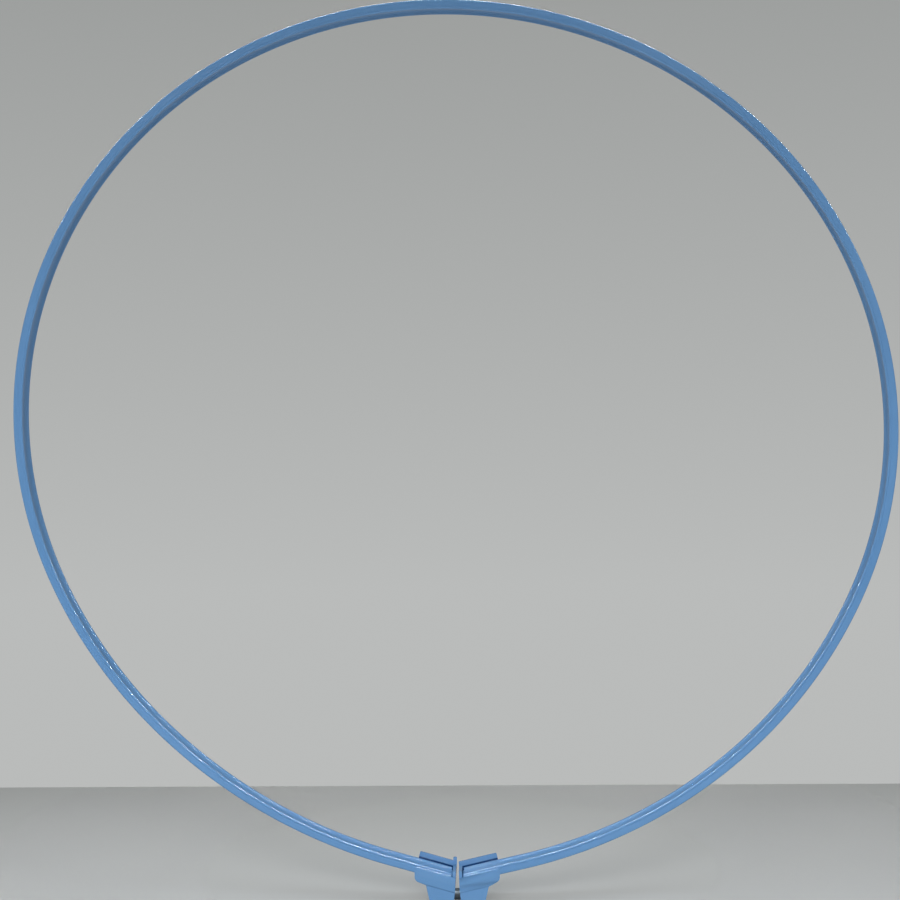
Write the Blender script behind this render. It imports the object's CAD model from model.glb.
"""The looks of a split clamping hoop: a painted rolled band, two welded lugs and a screw with its nut.

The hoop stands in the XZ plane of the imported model's frame with its front facing -Y. Sizes are in
millimetres where MM turns them into metres; the stage, the lights and the camera are in metres.
"""
import math

import bmesh
import bpy
import numpy as np
from mathutils import Matrix, Vector, geometry


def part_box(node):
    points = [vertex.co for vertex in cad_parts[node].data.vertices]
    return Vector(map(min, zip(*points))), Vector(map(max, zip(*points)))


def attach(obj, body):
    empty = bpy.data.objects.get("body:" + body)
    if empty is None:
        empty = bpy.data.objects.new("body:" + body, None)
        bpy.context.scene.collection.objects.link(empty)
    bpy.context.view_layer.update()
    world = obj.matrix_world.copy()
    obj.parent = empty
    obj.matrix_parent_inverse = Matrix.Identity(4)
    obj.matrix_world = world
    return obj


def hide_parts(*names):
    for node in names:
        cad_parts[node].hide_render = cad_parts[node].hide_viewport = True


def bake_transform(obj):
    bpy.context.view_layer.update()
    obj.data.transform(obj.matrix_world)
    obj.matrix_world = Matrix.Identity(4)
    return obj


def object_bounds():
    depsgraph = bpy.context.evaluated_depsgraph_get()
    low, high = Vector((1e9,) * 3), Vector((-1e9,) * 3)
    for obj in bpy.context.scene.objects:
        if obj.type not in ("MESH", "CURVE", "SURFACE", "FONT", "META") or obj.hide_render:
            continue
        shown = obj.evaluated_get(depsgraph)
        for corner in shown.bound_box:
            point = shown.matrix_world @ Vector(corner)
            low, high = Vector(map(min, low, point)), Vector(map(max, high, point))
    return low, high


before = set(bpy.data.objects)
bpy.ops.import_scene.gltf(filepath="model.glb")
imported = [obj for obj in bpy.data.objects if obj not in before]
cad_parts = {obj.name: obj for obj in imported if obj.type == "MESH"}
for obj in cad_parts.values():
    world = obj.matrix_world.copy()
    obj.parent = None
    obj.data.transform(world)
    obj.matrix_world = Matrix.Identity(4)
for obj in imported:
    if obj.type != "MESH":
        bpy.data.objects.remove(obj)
CAD_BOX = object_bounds()

MM = 0.001
LEFT, RIGHT = -1, 1

# ---------------------------------------------------------------- sizes, in millimetres

# The hoop's outer wall, as the frame's band halves have it
HOOP_RADIUS = 300.0
END_FLATNESS = 1.153
END_RADIUS = HOOP_RADIUS * END_FLATNESS
END_ARC_START = math.radians(67)
END_SLOPE = math.radians(14.8)
OVALITY = 0.0264
OVAL_AXIS = math.radians(-14.3)
BAND_END_X = 6.0

# The rolled hollow section: a nearly flat outer wall, necks, beads and the trough of the seat
BAND_HALF_WIDTH = 8.0
BAND_DEPTH = 6.8
OUTER_CROWN = 0.02
OUTER_CORNER = 1.7
NECK_HEIGHT = 0.5
NECK_FLARE = 0.04
SHOULDER_RADIUS = 0.45
SHOULDER_DROP = 0.55
BEAD_HEIGHT = 1.8
BEAD_WIDTH = 2.6
BEAD_PROUD = 0.5
BEAD_RADIUS = 0.85
SEAT_DEPTH = 2.4
SEAT_MIDDLE = 0.4
SEAT_STATIONS = 14
BAND_STATIONS = 760

# The M8 socket screw, from the frame; the flank is the thread's gain of depth in one turn
BOLT_HEIGHT = sum(corner.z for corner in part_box("clamp_bolt")) / 2 / MM
BOLT_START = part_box("clamp_bolt")[0].x / MM
BOLT_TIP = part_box("clamp_bolt")[1].x / MM
THREAD_PITCH = 1.25
THREAD_RADIUS = 4.0
THREAD_DEPTH = 0.7
THREAD_FLANK = 2.4
THREAD_CREST = 0.15
THREAD_STEPS = 14
THREAD_LEAD = 3.0
THREAD_STOP = 0.8
SHANK_RADIUS = THREAD_RADIUS - 0.02
TIP_LENGTH = 0.6
TIP_CORE = 3.35
TIP_END = 2.8
CENTRE_HOLE = 0.3
HEAD_RADIUS = 6.5
HEAD_HEIGHT = 8.0
HEAD_ROUND = 0.6
HEAD_CHAMFER = 0.3
HEAD_STEP = 0.1
COLLAR = 2.0
KNURL_TEETH = 40
KNURL_DEPTH = 0.16
SOCKET_FLATS = 6.0
SOCKET_DEPTH = 4.0
SOCKET_CONE = 1.0
SOCKET_CONE_TIP = 0.4
SOCKET_LEDGE = 0.4
SOCKET_CHAMFER = 0.3

# The nut and the two washers
NUT_FLATS = 13.0
NUT_BORE = THREAD_RADIUS + 0.12
NUT_COUNTERSINK = 0.5
NUT_CHAMFER = 0.75
NUT_CHAMFER_SLOPE = 1.75
NUT_FACE_INSET = 0.15
WASHER_BORE = 4.5
WASHER_RADIUS = 6.6
WASHER_SHEET = 1.6
WASHER_EDGE = 0.25
WASHER_BORE_EDGE = 0.15
WASHER_LEAN = math.radians(7)

# The lugs' pressed sheet: its bends, its cut edges and the limits of the steel that the spray missed
MERGE_DISTANCE = 0.02
FLAT_ANGLE = math.radians(1.5)
BEND_ANGLE = math.radians(4)
CUT_ANGLE = math.radians(60)
BEND_LENGTH = 6
BEND_RADIUS = 1.2
EDGE_RADIUS = 0.3
SLOT_FACE = 9.6
SLOT_FACE_FADE = (0.1, 0.3)
SLOT_SHADE = 0.75
SLOT_SHADE_FADE = 0.2

# The weld beads, whose tips are a share of the radius and taper over a few steps
WELD_RADIUS = 0.8
WELD_SIDES = 12
WELD_STEP = 0.15
WELD_TIP = 0.35
WELD_TIP_STEPS = 4
WELD_RIPPLE = 0.04
WELD_PITCH = 0.9
END_WELD_INSET = 0.3
END_WELD_LEAD = 0.35
END_WELD_FOOT = 1.5
END_WELD_CORNER = 0.8
END_WELD_DROP = 0.6
END_WELD_SWAY = (0.5, 0.3)
WING_TOP = 4.7
WING_WELD = (5.5, 29.5)
WING_WELD_STATIONS = 30
WING_WELD_OFF = WELD_RADIUS * 0.9


# ---------------------------------------------------------------- mesh helpers


def new_object(name, vertices, faces, material, smooth_angle=35):
    """A mesh object from points in millimetres, shaded smooth below an angle in degrees."""
    mesh = bpy.data.meshes.new(name)
    mesh.from_pydata([tuple(np.array(v) * MM) for v in vertices], [], faces)
    mesh.validate()
    piece = bpy.data.objects.new(name, mesh)
    bpy.context.scene.collection.objects.link(piece)
    finish_mesh(piece, material, smooth_angle)
    return piece


def finish_mesh(piece, material, smooth_angle=35):
    """Makes the faces point out, shades them and assigns the one material."""
    bm = bmesh.new()
    bm.from_mesh(piece.data)
    bmesh.ops.recalc_face_normals(bm, faces=bm.faces)
    for face in bm.faces:
        face.smooth = True
    limit = math.radians(smooth_angle)
    for edge in bm.edges:
        edge.smooth = edge.is_manifold and edge.calc_face_angle(0) < limit
    bm.to_mesh(piece.data)
    bm.free()
    piece.data.materials.clear()
    piece.data.materials.append(material)


def swept(name, sections, material, closed_path=False, smooth_angle=35):
    """A solid through a row of closed sections, each an array of points.

    Its ends are capped, or its last section joins the first on a closed path.
    """
    count = len(sections[0])
    vertices = np.concatenate(sections)
    faces = []
    for i in range(len(sections) - (0 if closed_path else 1)):
        here, there = i * count, (i + 1) % len(sections) * count
        for j in range(count):
            k = (j + 1) % count
            faces.append((here + j, here + k, there + k, there + j))
    if not closed_path:
        for start in (0, (len(sections) - 1) * count):
            ring = [Vector(p) for p in vertices[start:start + count]]
            for triangle in geometry.tessellate_polygon([ring]):
                faces.append(tuple(start + i for i in triangle))
    return new_object(name, vertices, faces, material, smooth_angle)


def arc(centre, radius, start, end, steps):
    """Points on a circle from one angle to another, in degrees."""
    angles = np.radians(np.linspace(start, end, steps))
    return [(centre[0] + radius * math.cos(a), centre[1] + radius * math.sin(a)) for a in angles]


def rounded_copy(node, name, material):
    """A copy of a pressed CAD sheet with its bends and its cut edges rounded."""
    bm = bmesh.new()
    bm.from_mesh(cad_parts[node].data)
    bmesh.ops.remove_doubles(bm, verts=bm.verts, dist=MERGE_DISTANCE * MM)
    bmesh.ops.dissolve_limit(
        bm, angle_limit=FLAT_ANGLE, verts=bm.verts, edges=bm.edges, delimit=set()
    )
    folds = [
        e for e in bm.edges
        if e.is_manifold and BEND_ANGLE < e.calc_face_angle(0) < CUT_ANGLE
        and e.calc_length() > BEND_LENGTH * MM
    ]
    round_edges(bm, folds, BEND_RADIUS, 4)
    rims = [e for e in bm.edges if e.is_manifold and e.calc_face_angle(0) >= CUT_ANGLE]
    round_edges(bm, rims, EDGE_RADIUS, 3)
    mesh = bpy.data.meshes.new(name)
    bm.to_mesh(mesh)
    bm.free()
    piece = bpy.data.objects.new(name, mesh)
    bpy.context.scene.collection.objects.link(piece)
    finish_mesh(piece, material, 40)
    return piece


def round_edges(bm, edges, radius, segments):
    """Bevels edges to a round of a radius in millimetres."""
    bmesh.ops.bevel(
        bm, geom=edges, offset=radius * MM, segments=segments, profile=0.5,
        affect="EDGES", clamp_overlap=True,
    )


def turned(name, rings, sides, material, holed=False):
    """A solid turned about the X axis: rings of x and a radius, or a radius for each angle.

    The rings of a holed solid run round its outside and back through the hole.
    """
    angles = np.linspace(0, 2 * math.pi, sides, endpoint=False)
    sections = []
    for x, radius in rings:
        radii = [radius(a) if callable(radius) else radius for a in angles]
        sections.append(np.stack([np.full(sides, x), radii * np.cos(angles), radii * np.sin(angles)], 1))
    return swept(name, sections, material, closed_path=holed, smooth_angle=30)


def hexagon(flats, largest=math.inf):
    """A radius for each angle: a hexagon, cut back to a largest radius."""
    def radius(angle):
        off = (angle + math.pi / 6) % (math.pi / 3) - math.pi / 6
        return min(flats / 2 / math.cos(off), largest)
    return radius


# ---------------------------------------------------------------- the hoop's outline


def ovality(x, z):
    """How much the hoop is stretched in a direction from its centre."""
    return 1 + OVALITY * math.cos(2 * (math.atan2(z, x) - OVAL_AXIS))


def half_outline(side, start_x, count):
    """The outer wall of one half from the gap to the top, about the hoop's centre: points x, z."""
    centre_x = (END_RADIUS - HOOP_RADIUS) * math.sin(END_ARC_START)
    centre_z = (END_RADIUS - HOOP_RADIUS) * math.cos(END_ARC_START)
    top_x = END_RADIUS * math.sin(END_SLOPE) - centre_x
    top_z = centre_z - END_RADIUS * math.cos(END_SLOPE)
    straight = (top_x - start_x) / math.cos(END_SLOPE)
    end_arc = END_RADIUS * (END_ARC_START - END_SLOPE)
    main_arc = HOOP_RADIUS * (math.pi - END_ARC_START)
    points = []
    for along in np.linspace(0, straight + end_arc + main_arc, count):
        if along < straight:
            back = straight - along
            x, z = top_x - back * math.cos(END_SLOPE), top_z - back * math.sin(END_SLOPE)
        elif along < straight + end_arc:
            angle = END_SLOPE + (along - straight) / END_RADIUS
            x, z = END_RADIUS * math.sin(angle) - centre_x, centre_z - END_RADIUS * math.cos(angle)
        else:
            angle = END_ARC_START + (along - straight - end_arc) / HOOP_RADIUS
            x, z = HOOP_RADIUS * math.sin(angle), -HOOP_RADIUS * math.cos(angle)
        stretch = ovality(side * x, z)
        points.append((side * x * stretch, z * stretch))
    return np.array(points)


# Height of the hoop's centre: its top is at the top of the frame
CENTRE_Z = CAD_BOX[1].z / MM - HOOP_RADIUS * ovality(0, HOOP_RADIUS)


def band_at(side, x):
    """Height of the band's outer wall and its slope at a distance from the gap."""
    near, far = (half_outline(side, start, 2)[0] for start in (x, x + 1))
    slope = math.atan2(far[1] - near[1], abs(far[0] - near[0]))
    return CENTRE_Z + near[1], slope


# ---------------------------------------------------------------- materials


class Nodes:
    """A short way to write a node material."""

    def __init__(self, name):
        self.material = bpy.data.materials.new(name)
        self.material.use_nodes = True
        self.tree = self.material.node_tree
        self.shader = self.tree.nodes["Principled BSDF"]
        self.place = self.add("ShaderNodeTexCoord").outputs["Object"]

    def add(self, kind, **settings):
        node = self.tree.nodes.new(kind)
        for key, value in settings.items():
            setattr(node, key, value)
        return node

    def link(self, output, socket):
        self.tree.links.new(output, socket)

    def noise(self, scale, detail=3.0, roughness=0.5):
        node = self.add("ShaderNodeTexNoise")
        node.inputs["Scale"].default_value = scale
        node.inputs["Detail"].default_value = detail
        node.inputs["Roughness"].default_value = roughness
        self.link(self.place, node.inputs["Vector"])
        return node.outputs["Fac"]

    def ranged(self, value, low, high, to_low, to_high):
        node = self.add("ShaderNodeMapRange")
        self.link(value, node.inputs["Value"])
        ends = {"From Min": low, "From Max": high, "To Min": to_low, "To Max": to_high}
        for key, number in ends.items():
            node.inputs[key].default_value = number
        return node.outputs["Result"]

    def mixed(self, factor, first, second):
        node = self.add("ShaderNodeMix", data_type="RGBA")
        self.link(factor, node.inputs["Factor"])
        for socket, colour in ((node.inputs["A"], first), (node.inputs["B"], second)):
            if isinstance(colour, tuple):
                socket.default_value = (*colour, 1)
            else:
                self.link(colour, socket)
        return node.outputs["Result"]

    def bump(self, height, strength, distance, below=None):
        node = self.add("ShaderNodeBump")
        node.inputs["Strength"].default_value = strength
        node.inputs["Distance"].default_value = distance
        self.link(height, node.inputs["Height"])
        if below is not None:
            self.link(below, node.inputs["Normal"])
        return node.outputs["Normal"]

    def set(self, **values):
        for key, value in values.items():
            self.shader.inputs[key.replace("_", " ")].default_value = value


DUST = (0.40, 0.46, 0.54)
UNSPRAYED = (0.008, 0.035, 0.120)


def enamel(name, body, thin, slot_side=0):
    """Glossy stoved enamel: faint orange peel, slightly uneven in depth, with a little dust.

    On a back cheek (slot_side is its side) the steel that the spray has not reached is dark.
    """
    n = Nodes(name)
    clouds = n.ranged(n.noise(9, 3), 0.3, 0.7, 0.0, 1.0)
    dust = n.ranged(n.noise(1300, 1.5, 0.5), 0.70, 0.80, 0.0, 0.10)
    colour = n.mixed(dust, n.mixed(clouds, body, thin), DUST)
    if slot_side:
        colour = n.mixed(unsprayed(n, slot_side), colour, UNSPRAYED)
    n.link(colour, n.shader.inputs["Base Color"])
    n.link(n.ranged(n.noise(40, 3), 0.3, 0.7, 0.11, 0.16), n.shader.inputs["Roughness"])
    peel = n.bump(n.noise(300, 1.5), 0.06, 0.0002)
    n.link(n.bump(n.noise(60, 2), 0.05, 0.0006, peel), n.shader.inputs["Normal"])
    n.set(IOR=1.5, Specular_IOR_Level=0.5)
    return n.material


def unsprayed(n, side):
    """How bare the steel is: below the band's inner side and not as far back as the lip's outer face.

    This is meant for the slot behind the band. The ear lies within the same limits, so it is dark too.
    """
    place = n.add("ShaderNodeSeparateXYZ")
    n.link(n.place, place.inputs["Vector"])
    level, slope = band_at(side, 0)
    across = n.add("ShaderNodeMath", operation="ABSOLUTE")
    n.link(place.outputs["X"], across.inputs[0])
    height = n.add("ShaderNodeMath", operation="MULTIPLY_ADD")
    n.link(across.outputs["Value"], height.inputs[0])
    height.inputs[1].default_value = -math.tan(slope)
    n.link(place.outputs["Z"], height.inputs[2])
    edge = (level + (BAND_DEPTH + SLOT_SHADE) / math.cos(slope)) * MM
    fade = SLOT_SHADE_FADE * MM
    low = n.ranged(height.outputs["Value"], edge - fade, edge + fade, 1, 0)
    near, far = ((SLOT_FACE + depth) * MM for depth in SLOT_FACE_FADE)
    inner = n.ranged(place.outputs["Y"], near, far, 1, 0)
    both = n.add("ShaderNodeMath", operation="MULTIPLY")
    n.link(low, both.inputs[0])
    n.link(inner, both.inputs[1])
    return both.outputs["Value"]


def zinc(name):
    """Zinc-plated steel: dull grey metal with faint crystal patches and a fine grain."""
    n = Nodes(name)
    patches = n.ranged(n.noise(500, 4, 0.7), 0.35, 0.65, 0.0, 1.0)
    colour = n.mixed(patches, (0.085, 0.098, 0.105), (0.135, 0.150, 0.160))
    n.link(colour, n.shader.inputs["Base Color"])
    n.link(n.ranged(n.noise(900, 3), 0.3, 0.7, 0.50, 0.62), n.shader.inputs["Roughness"])
    n.link(n.bump(n.noise(1600, 2), 0.15, 0.0001), n.shader.inputs["Normal"])
    n.set(Metallic=1.0)
    return n.material


def paper(name):
    """The matt pale sheet that the hoop stands on."""
    n = Nodes(name)
    mottled = n.ranged(n.noise(3, 5), 0.3, 0.7, 0.0, 1.0)
    colour = n.mixed(mottled, (0.415, 0.418, 0.408), (0.438, 0.442, 0.432))
    n.link(colour, n.shader.inputs["Base Color"])
    n.link(n.bump(n.noise(700, 3), 0.08, 0.0003), n.shader.inputs["Normal"])
    n.set(Roughness=0.85)
    return n.material


BAND_PAINT = enamel("band_enamel", (0.096, 0.232, 0.450), (0.106, 0.250, 0.475))
LUG_PAINT = enamel("lug_enamel", (0.096, 0.228, 0.438), (0.105, 0.245, 0.462))
STEEL = zinc("zinc_plate")
PAPER = paper("studio_paper")
SLOT_PAINT = {
    side: enamel(f"{name}_lip_enamel", (0.090, 0.210, 0.405), (0.100, 0.228, 0.430), side)
    for name, side in (("left", LEFT), ("right", RIGHT))
}

# ---------------------------------------------------------------- the band


def section_half():
    """Half of the band's section: y towards the back, height towards the hoop's outside."""
    half, depth = BAND_HALF_WIDTH, BAND_DEPTH
    proud = half + BEAD_PROUD
    seat_edge = proud - BEAD_WIDTH
    bead_top = -depth + BEAD_HEIGHT
    bead_middle = -depth + BEAD_RADIUS
    points = [(half * 0.3, OUTER_CROWN), (half * 0.6, 0)]
    points += arc((half - OUTER_CORNER, -OUTER_CORNER), OUTER_CORNER, 90, 0, 9)
    points += [(half, bead_top + NECK_HEIGHT), (half + NECK_FLARE, bead_top)]
    points += arc((proud - SHOULDER_RADIUS, bead_top - SHOULDER_DROP), SHOULDER_RADIUS, 60, 0, 4)
    points += arc((proud - BEAD_RADIUS, bead_middle), BEAD_RADIUS, 0, -90, 9)
    points += arc((seat_edge + BEAD_RADIUS, bead_middle), BEAD_RADIUS, -90, -135, 5)
    for y in np.linspace(seat_edge, SEAT_MIDDLE, SEAT_STATIONS):
        points.append((y, -depth + SEAT_DEPTH * (1 - (y / (seat_edge + BEAD_RADIUS)) ** 2)))
    return points


def band_section():
    """The whole section, from the outer wall's middle round the back, the seat and the front."""
    back = section_half()
    front = [(-y, height) for y, height in reversed(back)]
    return np.array(back + front)


def make_band():
    """One continuous band, which bends at the top where the frame has two halves and a hinge."""
    left = half_outline(LEFT, BAND_END_X, BAND_STATIONS // 2)
    right = half_outline(RIGHT, BAND_END_X, BAND_STATIONS // 2)
    path = np.concatenate([left, right[::-1][1:]])
    ahead = np.gradient(path, axis=0)
    ahead /= np.linalg.norm(ahead, axis=1)[:, None]
    outward = np.stack([-ahead[:, 1], ahead[:, 0]], 1)
    section = band_section()
    sections = []
    for (x, z), (out_x, out_z) in zip(path, outward):
        sections.append(np.stack([
            x + out_x * section[:, 1],
            section[:, 0],
            CENTRE_Z + z + out_z * section[:, 1],
        ], 1))
    band = swept("rolled_band", sections, BAND_PAINT)
    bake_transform(band)
    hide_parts("band_left_half", "band_right_half")


# ---------------------------------------------------------------- the lugs


def weld(name, path, body):
    """A painted weld bead along a path of points, with the ripples of its runs."""
    path = np.array(path, float)
    lengths = np.linalg.norm(np.diff(path, axis=0), axis=1)
    along = np.concatenate([[0], np.cumsum(lengths)])
    steps = int(along[-1] / WELD_STEP)
    at = np.linspace(0, along[-1], steps)
    centres = np.stack([np.interp(at, along, path[:, i]) for i in range(3)], 1)
    ahead = np.gradient(centres, axis=0)
    ahead /= np.linalg.norm(ahead, axis=1)[:, None]
    angles = np.linspace(0, 2 * math.pi, WELD_SIDES, endpoint=False)
    sections = []
    for i, (centre, forward) in enumerate(zip(centres, ahead)):
        side = np.cross(forward, (1, 0, 0) if abs(forward[0]) < 0.9 else (0, 0, 1))
        side /= np.linalg.norm(side)
        up = np.cross(forward, side)
        from_tip = min(i, steps - 1 - i) / WELD_TIP_STEPS
        ripple = WELD_RIPPLE * math.sin(2 * math.pi * at[i] / WELD_PITCH)
        radius = WELD_RADIUS * min(1, WELD_TIP + from_tip) + ripple
        sections.append(centre + radius * (np.cos(angles)[:, None] * side + np.sin(angles)[:, None] * up))
    bead = swept(name, sections, LUG_PAINT, smooth_angle=70)
    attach(bead, body)


def make_end_weld(prefix, side):
    """The bead that joins the band's cut end to the end plate: up, across the inner side and down."""
    z, slope = band_at(side, BAND_END_X)
    reach = BAND_HALF_WIDTH - END_WELD_INSET
    inner = BAND_DEPTH - SEAT_DEPTH
    x = side * (BAND_END_X - inner * math.sin(slope) - END_WELD_LEAD)
    top = z + inner * math.cos(slope)
    foot_sway, corner_sway = (side * sway for sway in END_WELD_SWAY)
    front = [
        (x + foot_sway, -reach, z + END_WELD_FOOT),
        (x + corner_sway, -reach, top - END_WELD_DROP),
        (x, -reach + END_WELD_CORNER, top),
    ]
    back = [(along, -across, height) for along, across, height in reversed(front)]
    weld(f"{prefix}_end_weld", front + back, f"{prefix}_half")


def make_wing_weld(prefix, side):
    """The bead that joins the front wing's top edge to the side of the band, filling the ledge."""
    points = []
    for x in np.linspace(*WING_WELD, WING_WELD_STATIONS):
        z, slope = band_at(side, x)
        points.append((
            side * (x - WING_TOP * math.sin(slope)),
            -BAND_HALF_WIDTH - WING_WELD_OFF,
            z + WING_TOP * math.cos(slope),
        ))
    weld(f"{prefix}_wing_weld", points, f"{prefix}_half")


def make_lug(prefix, side):
    """Two pressed cheeks and an end plate, with the beads that join them to the band."""
    for part in ("front_cheek", "back_cheek", "end_plate"):
        node = f"{prefix}_{part}"
        paint = SLOT_PAINT[side] if part == "back_cheek" else LUG_PAINT
        piece = rounded_copy(node, f"{node}_pressed", paint)
        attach(piece, f"{prefix}_half")
        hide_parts(node)
    make_end_weld(prefix, side)
    make_wing_weld(prefix, side)


# ---------------------------------------------------------------- the screw, nut and washers


def on_axis(piece):
    """Puts a piece that was turned about X on the screw's axis."""
    piece.data.transform(Matrix.Translation((0, 0, BOLT_HEIGHT * MM)))


def thread(x):
    """The radius of the screw's thread at a place along it, for each angle."""
    def radius(angle):
        turn = (x / THREAD_PITCH - angle / (2 * math.pi)) % 1
        depth = min(max(abs(turn - 0.5) * THREAD_FLANK - THREAD_CREST, 0), 1)
        return THREAD_RADIUS - THREAD_DEPTH * depth
    return radius


def knurled(radius):
    """A radius for each angle, with the head's small teeth cut into it."""
    return lambda angle: radius - KNURL_DEPTH * abs(math.sin(KNURL_TEETH * angle / 2))


def socket_rings():
    """The hexagon socket, from the middle of its floor out to the head's face."""
    floor = BOLT_START + SOCKET_DEPTH
    return [
        (floor + SOCKET_CONE, SOCKET_CONE_TIP),
        (floor, hexagon(SOCKET_FLATS - SOCKET_LEDGE)),
        (floor, hexagon(SOCKET_FLATS)),
        (BOLT_START + SOCKET_CHAMFER, hexagon(SOCKET_FLATS)),
        (BOLT_START, hexagon(SOCKET_FLATS + 2 * SOCKET_CHAMFER)),
    ]


def head_rings():
    """The head's outside: a rounded rim, a knurled grip, a plain collar and the face that seats."""
    seat = BOLT_START + HEAD_HEIGHT
    rim = HEAD_RADIUS - HEAD_ROUND
    rings = [(BOLT_START, rim - HEAD_CHAMFER)]
    for back, up in arc((0, 0), HEAD_ROUND, 180, 100, 6):
        rings.append((BOLT_START + HEAD_ROUND + back, rim - HEAD_STEP + up))
    for x in np.linspace(BOLT_START + 2 * HEAD_ROUND, seat - COLLAR, 8):
        rings.append((x, knurled(HEAD_RADIUS)))
    collar = HEAD_RADIUS - HEAD_STEP
    return rings + [
        (seat - COLLAR + 2 * HEAD_STEP, collar),
        (seat - HEAD_CHAMFER, collar),
        (seat, collar - HEAD_CHAMFER),
        (seat, THREAD_RADIUS + HEAD_CHAMFER),
        (seat + HEAD_CHAMFER, SHANK_RADIUS),
    ]


def shank_rings(thread_start):
    """The plain shank, the thread and the chamfered tip."""
    shank_start = BOLT_START + HEAD_HEIGHT + 2 * HEAD_CHAMFER
    rings = [(x, SHANK_RADIUS) for x in np.linspace(shank_start, thread_start, 6)]
    for x in np.arange(thread_start + 0.05, BOLT_TIP - THREAD_STOP, THREAD_PITCH / THREAD_STEPS):
        rings.append((x, thread(x)))
    return rings + [
        (BOLT_TIP - TIP_LENGTH, TIP_CORE),
        (BOLT_TIP - 0.1, TIP_END + 0.2),
        (BOLT_TIP, TIP_END),
        (BOLT_TIP, CENTRE_HOLE),
    ]


def make_screw(nut_start):
    """The socket head screw, plain in the gap and threaded from just before the nut."""
    rings = socket_rings() + head_rings() + shank_rings(nut_start - THREAD_LEAD)
    screw = turned("socket_screw", rings, 240, STEEL)
    on_axis(screw)
    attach(screw, "screw")
    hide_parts("clamp_bolt")


def make_nut():
    """A hexagon nut with chamfered corners and a countersunk bore."""
    start, end = (corner.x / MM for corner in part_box("clamp_nut"))
    face = NUT_FLATS / 2 - NUT_FACE_INSET
    depths = np.linspace(0, NUT_CHAMFER, 6)
    chamfer = [(depth, face + depth * NUT_CHAMFER_SLOPE) for depth in depths]
    mouth = NUT_BORE + NUT_COUNTERSINK
    rings = [(start, mouth)]
    rings += [(start + depth, hexagon(NUT_FLATS, widest)) for depth, widest in chamfer]
    rings += [(end - depth, hexagon(NUT_FLATS, widest)) for depth, widest in reversed(chamfer)]
    rings += [(end, mouth), (end - NUT_COUNTERSINK, NUT_BORE), (start + NUT_COUNTERSINK, NUT_BORE)]
    nut = turned("hexagon_nut", rings, 144, STEEL, holed=True)
    on_axis(nut)
    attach(nut, "right_half")
    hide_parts("clamp_nut")


def make_washer(node, side, body):
    """A plain washer that leans with the end plate it lies on."""
    half, edge, bore_edge = WASHER_SHEET / 2, WASHER_EDGE, WASHER_BORE_EDGE
    rings = [
        (-half, WASHER_BORE + bore_edge),
        (-half, WASHER_RADIUS - edge),
        (-half + edge, WASHER_RADIUS),
        (half - edge, WASHER_RADIUS),
        (half, WASHER_RADIUS - edge),
        (half, WASHER_BORE + bore_edge),
        (half - bore_edge, WASHER_BORE),
        (-half + bore_edge, WASHER_BORE),
    ]
    washer = turned(f"{node}_plain", rings, 96, STEEL, holed=True)
    low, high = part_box(node)
    lean = Matrix.Rotation(-side * WASHER_LEAN, 4, "Y")
    washer.data.transform(Matrix.Translation((low + high) / 2) @ lean)
    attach(washer, body)
    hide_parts(node)


def make_fasteners():
    make_screw(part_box("clamp_nut")[0].x / MM)
    make_nut()
    make_washer("head_washer", LEFT, "left_half")
    make_washer("nut_washer", RIGHT, "right_half")


# ---------------------------------------------------------------- the stage, the light and the camera

FLOOR_BACK = 0.38
FLOOR_FRONT = -3.0
FLOOR_HALF_WIDTH = 3.0


def make_stage():
    """A pale floor that ends behind the hoop, where the pale room takes over."""
    corners = [
        (-FLOOR_HALF_WIDTH, FLOOR_FRONT, 0), (FLOOR_HALF_WIDTH, FLOOR_FRONT, 0),
        (FLOOR_HALF_WIDTH, FLOOR_BACK, 0), (-FLOOR_HALF_WIDTH, FLOOR_BACK, 0),
    ]
    mesh = bpy.data.meshes.new("studio_floor")
    mesh.from_pydata(corners, [], [(0, 1, 2, 3)])
    mesh.materials.append(PAPER)
    floor = bpy.data.objects.new("studio_floor", mesh)
    bpy.context.scene.collection.objects.link(floor)


COOL = (0.84, 0.92, 1.0)

# The room's colour, by how far a direction points up
ROOM_LOW, ROOM_LOW_AT = (0.49, 0.50, 0.495), -0.10
ROOM_HIGH, ROOM_HIGH_AT = (0.30, 0.31, 0.305), 0.35


def area_light(name, place, target, size, watts, spread=180):
    """A rectangular light that faces a target; its size is its width and its height."""
    lamp = bpy.data.lights.new(name, "AREA")
    lamp.shape = "RECTANGLE"
    lamp.size, lamp.size_y = size
    lamp.energy = watts
    lamp.spread = math.radians(spread)
    light = bpy.data.objects.new(name, lamp)
    light.location = place
    light.rotation_mode = "QUATERNION"
    light.rotation_quaternion = (Vector(target) - Vector(place)).to_track_quat("-Z", "Y")
    bpy.context.scene.collection.objects.link(light)
    return light


def make_strips():
    """Two long strips that the paint mirrors as thin lines; they give no diffuse light."""
    front = area_light(
        "front_strip", place=(0, -0.65, 0.95), target=(0, -1.38, 0.0), size=(3.0, 0.12), watts=510
    )
    back = area_light(
        "back_strip", place=(0, 0.20, 1.0), target=(0, 0.20, 0.0), size=(3.0, 0.02), watts=24
    )
    for strip in (front, back):
        strip.data.color = COOL
        strip.visible_diffuse = False


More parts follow.
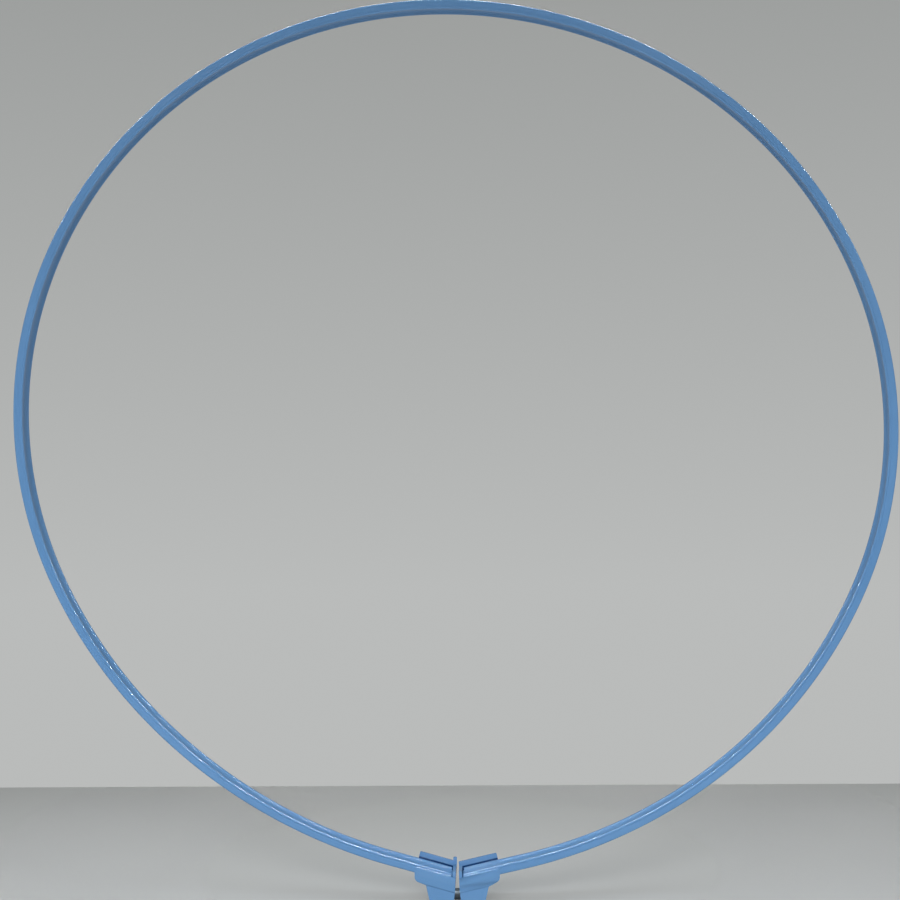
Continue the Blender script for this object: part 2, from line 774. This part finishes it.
def make_soft_lights():
    """A window in front, a pale ceiling and pale side walls, none of them mirrored by the paint."""
    lights = [
        area_light(
            "front_window", place=(-0.10, -1.5, 0.78), target=(0, 0.10, 0.03),
            size=(1.0, 0.45), watts=2.5, spread=58,
        ),
        area_light(
            "room_ceiling", place=(0, 0.12, 1.5), target=(0, 0.12, 0.0),
            size=(1.2, 0.08), watts=0.8, spread=60,
        ),
    ]
    for side in (LEFT, RIGHT):
        lights.append(area_light(
            "side_wall", place=(side * 0.62, -0.12, 0.38), target=(0, 0, 0.33),
            size=(0.5, 0.7), watts=0.5,
        ))
    for light in lights:
        light.visible_glossy = False


def make_room():
    """A pale room all round, darker above."""
    world = bpy.data.worlds.new("soft_room")
    world.use_nodes = True
    nodes, links = world.node_tree.nodes, world.node_tree.links
    direction = nodes.new("ShaderNodeTexCoord")
    height = nodes.new("ShaderNodeSeparateXYZ")
    shade = nodes.new("ShaderNodeMapRange")
    room = nodes.new("ShaderNodeMix")
    room.data_type = "RGBA"
    links.new(direction.outputs["Generated"], height.inputs["Vector"])
    links.new(height.outputs["Z"], shade.inputs["Value"])
    shade.inputs["From Min"].default_value = ROOM_LOW_AT
    shade.inputs["From Max"].default_value = ROOM_HIGH_AT
    links.new(shade.outputs["Result"], room.inputs["Factor"])
    room.inputs["A"].default_value = (*ROOM_LOW, 1)
    room.inputs["B"].default_value = (*ROOM_HIGH, 1)
    links.new(room.outputs["Result"], nodes["Background"].inputs["Color"])
    bpy.context.scene.world = world


# The camera, about the hoop's centre: metres and degrees
CAMERA_PLACE = (0.0337, -1.1159, -0.0020)
CAMERA_TURN = (-0.842, 0.657, 1.818)

# The camera's lens and film width, in millimetres
CAMERA_LENS = 64.0
CAMERA_SENSOR = 36


def make_camera():
    """The camera in front of the hoop, level with its centre, turned and rolled by a degree or two."""
    data = bpy.data.cameras.new("photo_view")
    data.sensor_width = CAMERA_SENSOR
    data.lens = CAMERA_LENS
    camera = bpy.data.objects.new("photo_view", data)
    tilt, roll, turn = (math.radians(a) for a in CAMERA_TURN)
    camera.rotation_mode = "XYZ"
    camera.rotation_euler = (math.pi / 2 + tilt, roll, turn)
    camera.location = Vector((0, 0, CENTRE_Z * MM)) + Vector(CAMERA_PLACE)
    bpy.context.scene.collection.objects.link(camera)
    bpy.context.scene.camera = camera


def main():
    make_camera()
    make_stage()
    make_strips()
    make_soft_lights()
    make_room()
    make_band()
    make_lug("left", LEFT)
    make_lug("right", RIGHT)
    make_fasteners()
    bpy.context.scene.view_settings.view_transform = "Standard"


main()
